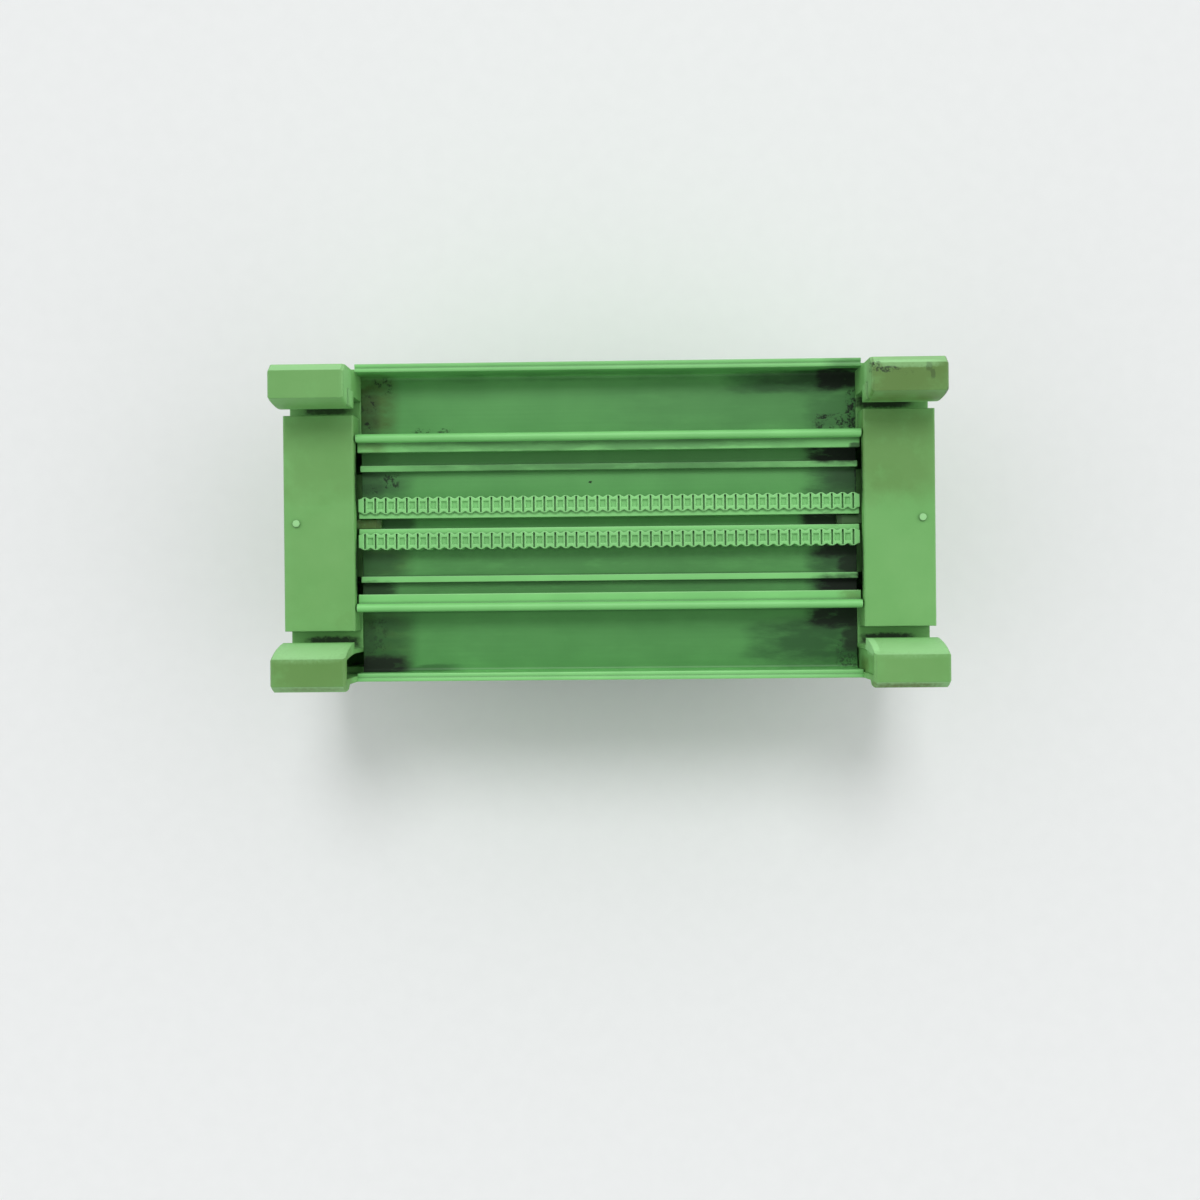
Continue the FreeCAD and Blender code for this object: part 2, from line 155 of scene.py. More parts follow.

# Black grease at the profile's ends and one black dot on a channel floor, and painted shade in the gaps
# between the profile's ends and the side elements
PROFILE_SOOT_AND_GAP_SHADE = [
    Stain((33.2, 20.8, 24.5), (4.0, 2.0, 2.6), 0.97),
    Stain((27.5, 21.0, 24.2), (7.5, 1.2, 2.0), 0.4),
    Stain((34.0, 10.2, 24.0), (6.4, 2.2, 1.4), 0.97),
    Stain((35.3, 10.8, 26.3), (1.2, 0.6, 0.8), 0.75),
    Stain((34.5, 5.6, 23.8), (3.4, 3.0, 1.1), 0.3),
    Stain((30.7, 0.6, 24.4), (3.8, 1.6, 1.6), 0.9),
    Stain((34.0, -3.8, 24.2), (5.4, 1.5, 1.3), 0.9),
    Stain((35.4, -5.8, 23.8), (2.8, 2.4, 1.1), 0.85),
    Stain((34.6, -8.8, 23.8), (5.6, 2.0, 1.4), 0.97),
    Stain((33.8, -13.6, 24.5), (6.2, 2.0, 2.0), 0.95),
    Stain((35.4, -16.0, 23.8), (2.2, 3.0, 1.1), 0.8),
    Stain((-35.4, 16.4, 23.8), (2.8, 4.6, 1.2), 0.4),
    Stain((-34.3, 10.2, 23.8), (3.2, 1.6, 1.2), 0.2),
    Stain((-34.6, 6.2, 23.8), (2.6, 2.6, 1.1), 0.4),
    Stain((-30.8, 0.6, 23.8), (3.4, 1.3, 1.2), 0.6),
    Stain((-34.6, -9.0, 23.8), (4.6, 1.7, 1.3), 0.8),
    Stain((-34.4, -20.1, 24.0), (6.6, 1.9, 1.6), 0.95),
    Stain((-35.6, -15.6, 23.8), (2.0, 4.2, 1.1), 0.3),
    # Painted shade in the gaps between the profile's ends and the side elements
    Stain((36.4, 6.2, 24.0), (1.1, 2.8, 1.4), 0.97),
    Stain((36.3, -6.4, 24.0), (1.1, 3.8, 1.4), 0.97),
    Stain((-36.4, 6.6, 24.0), (0.9, 3.4, 1.4), 0.95),
    Stain((-36.4, -6.2, 24.0), (0.9, 3.6, 1.4), 0.95),
    Stain((-2.5, 6.4, 23.8), (0.25, 0.25, 0.6), 0.9),
]
# Damp dust that darkens the channel floors, most at the ends, and dulls the upper flange's top and the edge
# of the lower strip; painted shade on the upper flange's inner wall, which faces away from the light, and
# on the upper ledge and the upper thin rib, which lie in the bead's shade
PROFILE_DAMP_AND_SHADE = [
    Stain((27.5, 20.4, 24.2), (13.7, 2.5, 2.4), 0.9),
    Stain((33.8, 16.6, 23.8), (7.8, 4.4, 1.1), 0.65),
    Stain((33.6, 6.1, 23.8), (6.2, 3.3, 1.1), 1.0),
    Stain((33.8, -5.6, 23.8), (6.8, 2.8, 1.1), 1.0),
    Stain((32.2, -8.8, 23.8), (4.9, 1.8, 1.1), 1.0),
    Stain((30.0, -17.2, 23.8), (13.0, 4.8, 1.2), 1.0),
    Stain((20.0, 17.0, 23.8), (23.4, 5.2, 1.0), 0.3),
    Stain((-34.2, 18.0, 23.8), (4.9, 6.7, 1.4), 0.4),
    Stain((-33.4, 6.4, 23.8), (6.2, 3.1, 1.1), 0.8),
    Stain((-33.6, -5.1, 23.8), (6.8, 3.1, 1.1), 0.9),
    Stain((-33.8, -16.3, 23.8), (7.3, 6.4, 1.1), 0.9),
    Stain((-27.5, -20.6, 23.9), (7.8, 1.0, 1.1), 0.7),
    Stain((34.0, 22.5, 27.9), (4.6, 1.4, 1.0), 0.55),
    Stain((0.0, 22.5, 27.9), (40.0, 1.4, 1.0), 0.14),
    # Painted shade: the upper flange's inner wall, the upper ledge and the upper thin rib
    Stain((0.0, 21.6, 25.6), (40.0, 0.9, 2.4), 0.5),
    Stain((0.0, 11.4, 26.5), (40.0, 1.0, 0.6), 0.55),
    Stain((0.0, 8.57, 24.9), (40.0, 1.8, 0.9), 0.68),
    Stain((0.0, -5.4, 23.8), (40.0, 3.2, 0.6), 0.36),
    Stain((0.0, -17.4, 23.8), (40.0, 6.0, 0.6), 0.2),
    Stain((0.0, -9.0, 23.8), (40.0, 1.3, 0.6), 0.3),
    Stain((0.0, -2.0, 26.0), (40.0, 1.7, 0.8), 0.12),
]
# Places where the grease has dried to specks
PROFILE_SPECKS = [
    Stain((33.3, 14.6, 23.8), (4.2, 1.4, 1.0), 0.95),
    Stain((35.4, 16.6, 23.8), (1.2, 3.6, 1.0), 0.95),
    Stain((-32.7, 20.5, 23.8), (1.8, 1.4, 1.0), 0.85),
    Stain((-34.8, 16.7, 23.8), (1.7, 3.3, 1.0), 0.95),
    Stain((-25.5, 14.0, 23.8), (3.3, 0.5, 1.0), 0.8),
    Stain((-31.5, 6.7, 23.8), (1.4, 1.5, 1.0), 0.85),
    Stain((-34.4, 5.5, 23.8), (1.3, 0.9, 1.0), 0.8),
    Stain((34.7, -18.6, 23.8), (2.4, 2.7, 1.0), 0.7),
    Stain((-34.2, -16.3, 23.8), (2.4, 4.4, 1.0), 0.5),
]
# Olive film of age and handling on the profile
PROFILE_FILM = [
    Stain((-34.0, 11.3, 26.5), (3.2, 1.3, 1.2), 0.5),
    Stain((34.6, -10.5, 26.5), (2.6, 1.2, 1.2), 0.5),
    Stain((-34.6, 17.6, 24.5), (5.0, 6.0, 2.4), 0.85),
    Stain((-34.0, -16.3, 23.8), (6.2, 6.0, 1.1), 0.6),
    Stain((-34.0, -5.1, 23.8), (6.2, 3.0, 1.1), 0.6),
]

# Dark rubs on the side elements' hooks, grease and painted shade on the tongues, and painted shade under
# the lips and in the end gaps
SIDE_SOOT_AND_SHADE = [
    Stain((43.4, 20.2, 35.0), (0.5, 0.7, 0.9), 0.35),
    Stain((43.9, 19.2, 35.0), (0.4, 0.8, 0.9), 0.4),
    Stain((46.2, 16.2, 34.0), (0.6, 1.5, 1.8), 0.6),
    # Painted shade under the hooks' lips
    Stain((39.5, 17.3, 24.2), (5.0, 1.0, 1.2), 0.9),
    Stain((-40.5, 17.3, 24.2), (4.0, 1.0, 1.2), 0.8),
    Stain((40.0, -16.7, 24.2), (4.6, 1.0, 1.2), 0.9),
    Stain((-40.0, -16.5, 24.2), (4.6, 1.0, 1.2), 0.9),
    # Grease and painted shade on the tongues
    Stain((34.2, 0.5, 25.0), (3.0, 1.6, 1.2), 0.72),
    Stain((-34.2, 0.5, 25.0), (3.0, 1.6, 1.2), 0.3),
    # Painted shade in the end gaps
    Stain((36.4, 6.6, 25.0), (1.0, 5.4, 2.6), 0.95),
    Stain((36.4, -5.6, 25.0), (1.0, 5.4, 2.6), 0.95),
    Stain((-36.4, 6.6, 25.0), (1.0, 5.4, 2.6), 0.95),
    Stain((-36.4, -5.6, 25.0), (1.0, 5.4, 2.6), 0.95),
]
# Bruises on the right fixed hook, dotted with dirt
SIDE_SPECKS = [
    Stain((35.9, 20.6, 34.4), (1.1, 1.0, 1.6), 0.9),
    Stain((37.9, 19.9, 35.0), (1.9, 0.5, 0.9), 0.8),
    Stain((40.5, 19.4, 35.0), (0.9, 0.5, 0.6), 0.35),
]
# Olive grease rubbed into the left tongue, the springing hooks' outer edges and the right pocket
SIDE_GREASE = [
    Stain((-34.2, 0.5, 25.0), (3.2, 1.6, 1.2), 0.8),
    Stain((40.0, -22.6, 34.2), (7.0, 0.7, 1.0), 0.8),
    Stain((-40.8, -22.5, 34.2), (6.5, 0.6, 1.0), 0.5),
    Stain((36.2, -20.2, 27.6), (1.6, 1.5, 3.6), 0.6),
]
# Places that the rail and hands have rubbed pale and the two moulding gates; on the springing hooks' noses
# and the hooks' inner end faces the paleness is also a painted highlight
SIDE_RUBS_AND_HIGHLIGHTS = [
    Stain((-44.2, 0.5, 28.3), (0.7, 0.7, 0.35), 0.75),
    Stain((44.2, 0.5, 28.3), (0.7, 0.7, 0.35), 0.75),
    Stain((-41.0, -17.6, 32.6), (6.5, 1.8, 3.2), 0.45),
    Stain((41.0, -17.6, 32.6), (6.5, 1.8, 3.2), 0.3),
    Stain((-35.2, 19.2, 32.4), (1.1, 3.2, 3.0), 0.4),
    Stain((35.2, 19.4, 32.4), (1.1, 3.0, 3.0), 0.4),
    Stain((40.5, 20.7, 34.6), (5.5, 0.7, 0.9), 0.4),
    Stain((35.9, -17.4, 32.0), (1.0, 1.5, 3.4), 0.75),
]
# Olive film of age and handling on the side elements
SIDE_FILM = [
    Stain((41.0, 19.3, 34.0), (9.0, 5.0, 4.0), 0.72),
    Stain((-41.0, -19.7, 34.0), (9.0, 5.0, 4.0), 0.52),
    Stain((-41.0, 19.3, 34.0), (9.0, 5.0, 4.0), 0.2),
    Stain((41.0, -19.7, 34.0), (9.0, 5.0, 4.0), 0.25),
    Stain((40.5, 9.5, 27.9), (8.0, 8.5, 1.5), 0.42),
    Stain((-40.5, 9.5, 27.9), (8.0, 8.5, 1.5), 0.26),
    Stain((-40.5, -6.0, 27.9), (8.0, 13.0, 1.5), 0.14),
    Stain((-37.4, -13.5, 27.9), (2.0, 2.5, 1.0), 0.2),
]


def linear(colour):
    """Turn an sRGB hex colour into linear red, green, blue and alpha."""
    parts = [int(colour[i:i + 2], 16) / 255 for i in (0, 2, 4)]
    return [p / 12.92 if p <= 0.04045 else ((p + 0.055) / 1.055) ** 2.4 for p in parts] + [1.0]


def grain(size):
    """Texture scale whose features are about this many millimetres wide."""
    return 1 / (size * MM)


def feed(tree, node, inputs):
    """Set inputs of a node: each is a socket to link or a constant."""
    for name, value in inputs.items():
        if isinstance(value, bpy.types.NodeSocket):
            tree.links.new(value, node.inputs[name])
        else:
            node.inputs[name].default_value = value


def add(tree, kind, inputs=None, **settings):
    """Add a node with its settings and its inputs."""
    node = tree.nodes.new("ShaderNode" + kind)
    for name, value in settings.items():
        setattr(node, name, value)
    feed(tree, node, inputs or {})
    return node


def new_material(name):
    """Empty material: its node tree, its shader and the point that its patterns read."""
    material = bpy.data.materials.new(name)
    material.use_nodes = True
    tree = material.node_tree
    point = add(tree, "TexCoord").outputs["Object"]
    return material, tree, tree.nodes["Principled BSDF"], point


def stain_mask(tree, point, stains, ragged, smeared=1.0, fade=0.34):
    """How strongly each point is stained, made pale or painted with shade: squarish blotched stains with
    soft ragged edges, the strongest one counts.
    """
    wiped = add(tree, "Mapping", {"Vector": point, "Scale": (smeared, 1.0, 1.0)}).outputs[0]
    cloud = {"Vector": wiped, "Scale": grain(ragged), "Detail": 5.0, "Roughness": 0.6}
    blotch = add(tree, "TexNoise", cloud).outputs
    about_zero = {0: blotch["Color"], 1: (0.5, 0.5, 0.5)}
    centred = add(tree, "VectorMath", about_zero, operation="SUBTRACT").outputs[0]
    shift = add(tree, "VectorMath", {0: centred, "Scale": ragged * MM}, operation="SCALE").outputs[0]
    moved = add(tree, "VectorMath", {0: point, 1: shift}).outputs[0]
    mask = 0.0
    for stain in stains:
        place = {"Vector": moved, "Location": Vector(stain.middle) * MM, "Scale": Vector(stain.reach) * MM}
        within = add(tree, "Mapping", place, vector_type="TEXTURE").outputs[0]
        squared = add(tree, "VectorMath", {0: within, 1: within}, operation="MULTIPLY").outputs[0]
        depth = add(tree, "TexGradient", {"Vector": squared}, gradient_type="SPHERICAL").outputs["Fac"]
        broken = add(tree, "Math", {0: depth, 1: blotch["Fac"]}, operation="MULTIPLY").outputs[0]
        limits = {"Value": broken, "From Max": fade, "To Max": stain.strength}
        dark = add(tree, "MapRange", limits, interpolation_type="SMOOTHSTEP").outputs["Result"]
        mask = add(tree, "Math", {0: mask, 1: dark}, operation="MAXIMUM").outputs[0]
    return mask


def specks(tree, point, mask, size):
    """Break a mask into specks of about this many millimetres."""
    fine = {"Vector": point, "Scale": grain(size), "Detail": 8.0, "Roughness": 0.75}
    noise = add(tree, "TexNoise", fine).outputs["Fac"]
    limits = {"Value": noise, "From Min": SPECK_START, "From Max": SPECK_FULL}
    dots = add(tree, "MapRange", limits).outputs["Result"]
    return add(tree, "Math", {0: mask, 1: dots}, operation="MULTIPLY").outputs[0]


def corner_dirt_and_shade(tree, reach, strength):
    """How dark each point is painted in inner corners: dust that stays there, and painted shade where
    little of the sky is seen.
    """
    free = add(tree, "AmbientOcclusion", {"Distance": reach}, samples=8, only_local=True).outputs["AO"]
    limits = {"Value": free, "From Min": CORNER_START, "From Max": CORNER_FULL, "To Max": strength}
    return add(tree, "MapRange", limits).outputs["Result"]


def rounded_edges(tree, radius):
    """Normal that rounds the sharp edges, and how near to an edge each point is."""
    rounded = add(tree, "Bevel", {"Radius": radius}, samples=8).outputs[0]
    flat = add(tree, "NewGeometry").outputs["True Normal"]
    turn = add(tree, "VectorMath", {0: rounded, 1: flat}, operation="DOT_PRODUCT").outputs["Value"]
    limits = {"Value": turn, "From Min": EDGE_START, "From Max": EDGE_FULL}
    return rounded, add(tree, "MapRange", limits).outputs["Result"]


def layered(tree, colour, *coats):
    """Lay coats of tone, wear, grime and painted light and shade over a colour, in order: each has a mask
    and a paint.
    """
    for mask, paint in coats:
        colour = add(tree, "Mix", {0: mask, 6: colour, 7: paint}, data_type="RGBA").outputs[2]
    return colour


def extruded_pvc(finish):
    """Extruded rigid PVC: a smooth skin with faint drawn lines, dusty and greasy in its channels, with
    painted shade in its corners, end gaps and under its bead and flange, and painted highlights and sheen
    on its edges and raised tops.
    """
    material, tree, shader, point = new_material("Extruded PVC")
    drawn = add(tree, "Mapping", {"Vector": point, "Scale": (1 / LINE_STRETCH, 1.0, 1.0)}).outputs[0]
    streaks = {"Vector": drawn, "Scale": grain(LINE_WIDTH), "Detail": 3.0}
    lines = add(tree, "TexNoise", streaks).outputs["Fac"]
    clouds = add(tree, "TexNoise", {"Vector": point, "Scale": grain(7.0), "Detail": 3.0}).outputs["Fac"]
    tone = add(tree, "Math", {0: lines, 1: LINE_SHARE, 2: clouds}, operation="MULTIPLY_ADD").outputs[0]
    toned = add(tree, "MapRange", {"Value": tone, "From Min": 0.4, "From Max": 0.95}).outputs["Result"]

    place = add(tree, "SeparateXYZ", {0: point}).outputs
    height = place["Z"]
    rims = {
        "Value": height, "From Min": PAD_HEIGHT * MM, "From Max": RIM_HEIGHT * MM,
        "To Min": finish.profile_edge, "To Max": finish.rim_edge,
    }
    rounded, near = rounded_edges(tree, add(tree, "MapRange", rims).outputs["Result"])
    # Paler plastic near edges: wear and painted highlight
    worn_and_lit = add(tree, "Math", {0: near, 1: EDGE_WEAR_AND_HIGHLIGHT}, operation="MULTIPLY").outputs[0]
    across = add(tree, "Math", {0: place["Y"]}, operation="ABSOLUTE").outputs[0]
    inside = add(tree, "Math", {0: across, 1: PAD_REACH * MM}, operation="LESS_THAN").outputs[0]
    high = add(tree, "Math", {0: height, 1: NOTCH_HEIGHT * MM}, operation="GREATER_THAN").outputs[0]
    pads = add(tree, "Math", {0: inside, 1: high}, operation="MULTIPLY").outputs[0]
    bruised_and_lit = add(tree, "Math", {0: pads, 1: PAD_WEAR, 2: worn_and_lit}, operation="MULTIPLY_ADD").outputs[0]
    normal = add(tree, "NewGeometry").outputs["True Normal"]
    level = add(tree, "SeparateXYZ", {0: normal}).outputs["Z"]
    # Pale plastic: wear on the pads, wear and painted highlight near edges, and painted sheen on raised
    # tops that face up
    above_floor = {"Value": height, "From Min": FLOOR_HEIGHT * MM, "From Max": DUST_HEIGHT * MM}
    raised = add(tree, "MapRange", {**above_floor, "To Max": TOP_SHEEN}).outputs["Result"]
    wear = {0: raised, 1: level, 2: bruised_and_lit}
    pale = add(tree, "Math", wear, operation="MULTIPLY_ADD", use_clamp=True).outputs[0]

    dust = add(tree, "MapRange", {**above_floor, "To Min": FLOOR_DUST, "To Max": 0.0}).outputs["Result"]
    settled = add(tree, "Math", {0: dust, 1: level}, operation="MULTIPLY", use_clamp=True).outputs[0]
    film = stain_mask(tree, point, PROFILE_FILM, ragged=0.8, smeared=0.4, fade=0.6)
    # Dirt and painted shade in inner corners, less of it on the pads
    share = {0: inside, 1: PAD_DIRT_AND_SHADE - CORNER_DIRT_AND_SHADE, 2: CORNER_DIRT_AND_SHADE}
    held = add(tree, "Math", share, operation="MULTIPLY_ADD").outputs[0]
    # Damp dust, and painted shade on the upper flange's inner wall, the upper ledge and the upper thin rib
    damp_and_shade = stain_mask(tree, point, PROFILE_DAMP_AND_SHADE, ragged=2.0, smeared=0.3, fade=0.52)
    spotted = specks(tree, point, stain_mask(tree, point, PROFILE_SPECKS, ragged=0.8), size=0.9)
    # Black grease, and painted shade in the end gaps
    soot_and_shade = stain_mask(tree, point, PROFILE_SOOT_AND_GAP_SHADE, ragged=0.8, smeared=0.4, fade=0.38)
    dirt_and_shade = add(tree, "Math", {0: soot_and_shade, 1: spotted}, operation="MAXIMUM").outputs[0]
    colour = layered(
        tree, finish.profile_shade,
        (toned, finish.profile_colour),
        (pale, finish.rim_wear_and_sheen_colour),
        (settled, finish.damp_and_shade_colour),
        (film, finish.film_colour),
        (corner_dirt_and_shade(tree, finish.corner_reach, held), finish.damp_and_shade_colour),
        (damp_and_shade, finish.damp_and_shade_colour),
        (dirt_and_shade, finish.grime_and_shade_colour),
    )
    gloss = {"Value": dirt_and_shade, "To Min": finish.profile_roughness, "To Max": GRIME_ROUGHNESS}
    skin = {"Height": lines, "Normal": rounded, "Strength": 0.15, "Distance": SKIN_DEPTH * MM}
    feed(tree, shader, {
        "Base Color": colour,
        "Roughness": add(tree, "MapRange", gloss).outputs["Result"],
        "Normal": add(tree, "Bump", skin).outputs[0],
        "Specular IOR Level": WORN_SPECULAR,
    })
    return material


def moulded_polyamide(finish):
    """Moulded polyamide: an even, slightly clouded green with a fine eroded grain and hand marks, painted
    highlights on its edges, sloped faces and hooks' noses, and painted shade in its corners, end gaps and
    under its lips.
    """
    material, tree, shader, point = new_material("Moulded polyamide")
    clouds = add(tree, "TexNoise", {"Vector": point, "Scale": grain(6.0), "Detail": 4.0}).outputs["Fac"]
    tones = {"Value": clouds, "From Min": CLOUD_START, "From Max": CLOUD_FULL}
    toned = add(tree, "MapRange", tones).outputs["Result"]
    film = stain_mask(tree, point, SIDE_FILM, ragged=4.0, fade=0.45)

    rounded, near = rounded_edges(tree, finish.side_edge)
    normal = add(tree, "NewGeometry").outputs["True Normal"]
    facing = add(tree, "SeparateXYZ", {0: normal}).outputs
    # Painted sheen: faces that slope towards the near and far sides are painted paler
    sloped = add(tree, "Math", {0: facing["Y"], 1: facing["Z"]}, operation="MULTIPLY").outputs[0]
    square = add(tree, "Math", {0: sloped, 1: sloped}, operation="MULTIPLY").outputs[0]
    slope_sheen = add(tree, "Math", {0: square, 1: SLOPE_SHEEN}, operation="MULTIPLY").outputs[0]
    # Paler plastic near edges, as wear and painted highlight, and on the sloped faces
    worn_and_lit = add(tree, "Math", {0: near, 1: SIDE_EDGE_WEAR_AND_HIGHLIGHT, 2: slope_sheen}, operation="MULTIPLY_ADD").outputs[0]
    rubbed_and_lit = stain_mask(tree, point, SIDE_RUBS_AND_HIGHLIGHTS, ragged=0.4)

    grease = stain_mask(tree, point, SIDE_GREASE, ragged=0.6, fade=0.55)
    spotted = specks(tree, point, stain_mask(tree, point, SIDE_SPECKS, ragged=0.5), size=0.6)
    # Dark rubs and grease, and painted shade under the lips, on the tongues and in the end gaps
    soot_and_shade = stain_mask(tree, point, SIDE_SOOT_AND_SHADE, ragged=0.6)
    dirt_and_shade = add(tree, "Math", {0: soot_and_shade, 1: spotted}, operation="MAXIMUM").outputs[0]
    colour = layered(
        tree, finish.side_shade,
        (toned, finish.side_colour),
        (film, finish.film_colour),
        (worn_and_lit, finish.worn_and_highlight_colour),
        (rubbed_and_lit, finish.worn_and_highlight_colour),
        # Dirt and painted shade in inner corners
        (corner_dirt_and_shade(tree, finish.corner_reach, SIDE_DIRT_AND_SHADE), finish.damp_and_shade_colour),
        (grease, finish.film_colour),
        (dirt_and_shade, finish.grime_and_shade_colour),
    )
    pits = {"Vector": point, "Scale": grain(SIDE_GRAIN), "Detail": 2.0}
    eroded = add(tree, "TexNoise", pits).outputs["Fac"]
    gloss = {"Value": clouds, "To Min": 0.4, "To Max": 0.56}
    skin = {"Height": eroded, "Normal": rounded, "Strength": 0.2, "Distance": SKIN_DEPTH * MM}
    feed(tree, shader, {
        "Base Color": colour,
        "Roughness": add(tree, "MapRange", gloss).outputs["Result"],
        "Normal": add(tree, "Bump", skin).outputs[0],
        "Specular IOR Level": WORN_SPECULAR,
    })
    return material


def moulded_plastic(name, colour, shade, roughness):
    """Plain moulded plastic: two near tones in clouds and a fine grain."""
    material, tree, shader, point = new_material(name)
    clouds = add(tree, "TexNoise", {"Vector": point, "Scale": grain(4.0), "Detail": 3.0}).outputs["Fac"]
    tones = {"Value": clouds, "From Min": CLOUD_START, "From Max": CLOUD_FULL}
    toned = add(tree, "MapRange", tones).outputs["Result"]
    pits = {"Vector": point, "Scale": grain(PLAIN_GRAIN), "Detail": 2.0}
    eroded = add(tree, "TexNoise", pits).outputs["Fac"]
    edge = add(tree, "Bevel", {"Radius": PLAIN_EDGE * MM}, samples=6).outputs[0]
    skin = {"Height": eroded, "Normal": edge, "Strength": 0.2, "Distance": SKIN_DEPTH * MM}
    feed(tree, shader, {
        "Base Color": layered(tree, shade, (toned, colour)),
        "Roughness": roughness,
        "Normal": add(tree, "Bump", skin).outputs[0],
    })
    return material


def plated_metal(name, colour, shade, roughness):
    """Plated metal: a bright skin with a slight cloudy tarnish."""
    material, tree, shader, point = new_material(name)
    tarnish = add(tree, "TexNoise", {"Vector": point, "Scale": grain(0.8), "Detail": 4.0}).outputs["Fac"]
    bright = add(tree, "MapRange", {"Value": tarnish, "From Min": 0.35, "From Max": 0.65}).outputs["Result"]
    gloss = {"Value": tarnish, "To Min": roughness, "To Max": roughness + TARNISH}
    feed(tree, shader, {
        "Base Color": layered(tree, shade, (bright, colour)),
        "Roughness": add(tree, "MapRange", gloss).outputs["Result"],
        "Metallic": 1.0,
    })
    return material


def masked_laminate():
    """Solder-masked laminate: glossy dark green, paler and a little raised over its copper tracks."""
    material, tree, shader, point = new_material("Solder-masked laminate")
    along = add(tree, "SeparateXYZ", {0: point}).outputs["X"]
    aside = add(tree, "Math", {0: along, 1: TRACK_PITCH / 2 * MM}, operation="PINGPONG").outputs[0]
    edges = {"From Min": (TRACK_WIDTH + TRACK_EDGE) / 2 * MM, "From Max": TRACK_WIDTH / 2 * MM}
    track = add(tree, "MapRange", {"Value": aside, **edges}).outputs["Result"]
    weave = add(tree, "TexNoise", {"Vector": point, "Scale": grain(0.6), "Detail": 3.0}).outputs["Fac"]
    colour = layered(tree, linear("174a2a"), (weave, linear("1d5733")), (track, linear("2b7044")))
    raised = {"Height": track, "Strength": 0.5, "Distance": TRACK_HEIGHT * MM}
    feed(tree, shader, {
        "Base Color": colour,
        "Roughness": 0.28,
        "Normal": add(tree, "Bump", raised).outputs[0],
    })
    return material


def pale_card():
    """Pale matt card under the part."""
    material, tree, shader, point = new_material("Pale card")
    fibre = add(tree, "TexNoise", {"Vector": point, "Scale": grain(3.0), "Detail": 3.0}).outputs["Fac"]
    feed(tree, shader, {
        "Base Color": layered(tree, linear("eaecec"), (fibre, linear("eef0f0"))),
        "Roughness": 0.9,
    })
    return material


def soft_sky(stage):
    """Soft boxes low all round and none overhead; the eye and reflections see a plain backdrop."""
    world = bpy.data.worlds.new("Soft sky")
    world.use_nodes = True
    tree = world.node_tree
    towards = add(tree, "TexCoord").outputs["Generated"]
    strength = stage.horizon
    sides = ((1.0, (stage.east, stage.north, -stage.horizon)), (-1.0, (stage.west, stage.south, 0.0)))
    for sign, amounts in sides:
        facing = add(tree, "VectorMath", {0: towards, "Scale": sign}, operation="SCALE").outputs[0]
        front = add(tree, "VectorMath", {0: facing, 1: (0.0, 0.0, 0.0)}, operation="MAXIMUM").outputs[0]
        square = add(tree, "VectorMath", {0: front, 1: front}, operation="MULTIPLY").outputs[0]
        part = add(tree, "VectorMath", {0: square, 1: amounts}, operation="DOT_PRODUCT").outputs["Value"]
        strength = add(tree, "Math", {0: strength, 1: part}, operation="ADD").outputs[0]
    light = tree.nodes["Background"]
    feed(tree, light, {"Color": linear("ffffff"), "Strength": strength})
    backdrop = add(tree, "Background", {"Color": stage.backdrop, "Strength": 1.0})
    path = add(tree, "LightPath").outputs
    seen = path["Is Camera Ray"]
    for ray in ("Is Glossy Ray", "Is Transmission Ray"):
        seen = add(tree, "Math", {0: seen, 1: path[ray]}, operation="MAXIMUM").outputs[0]
    shown = add(tree, "MixShader", {0: seen, 1: light.outputs[0], 2: backdrop.outputs[0]}).outputs[0]
    feed(tree, tree.nodes["World Output"], {"Surface": shown})
    return world


def dress(material, *nodes):
    """Give a material to every slot of the named CAD nodes."""
    for name in nodes:
        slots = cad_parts[name].material_slots
        if not slots:
            raise RuntimeError(name + " has no material slot")
        for place in slots:
            place.material = material


def row_nodes(start):
    """CAD nodes whose names start so."""
    found = [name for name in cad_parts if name.startswith(start)]
    if not found:
        raise RuntimeError("no node starts with " + start)
    return sorted(found)


def mesh_object(name, shape):
    """Put a finished bmesh into the scene as an object at the origin."""
    mesh = bpy.data.meshes.new(name)
    shape.to_mesh(mesh)
    shape.free()
    made = bpy.data.objects.new(name, mesh)
    bpy.context.scene.collection.objects.link(made)
    return made


def push(shape, face, run):
    """Extrude a face of a bmesh along a vector; gives the vertices that moved."""
    made = bmesh.ops.extrude_face_region(shape, geom=[face])["geom"]
    moved = [part for part in made if isinstance(part, bmesh.types.BMVert)]
    bmesh.ops.translate(shape, vec=run, verts=moved)
    return moved


def run_out(shape, outline, run):
    """Add a solid to a bmesh: a few points in one plane, run along a vector; gives its first face."""
    face = shape.faces.new([shape.verts.new(point) for point in outline])
    push(shape, face, run)
    return face


def turn_round(shape, outline, x, y):
    """Add a round solid to a bmesh: (radius, height) points in millimetres, spun about an upright axis."""
    points = [shape.verts.new((x + radius * MM, y, height * MM)) for radius, height in outline]
    edges = [shape.edges.new(pair) for pair in zip(points, points[1:])]
    bmesh.ops.spin(
        shape, geom=points + edges, cent=(x, y, 0.0), axis=(0.0, 0.0, 1.0), angle=2 * pi,
        steps=ROUND_STEPS, use_merge=True,
    )


def whole(shape):
    """Close the seams of a bmesh and turn its faces outwards."""
    bmesh.ops.remove_doubles(shape, verts=shape.verts, dist=0.001 * MM)
    bmesh.ops.recalc_face_normals(shape, faces=shape.faces)
    if not all(edge.is_manifold for edge in shape.edges):
        raise RuntimeError("a shape has an open seam")
    return shape


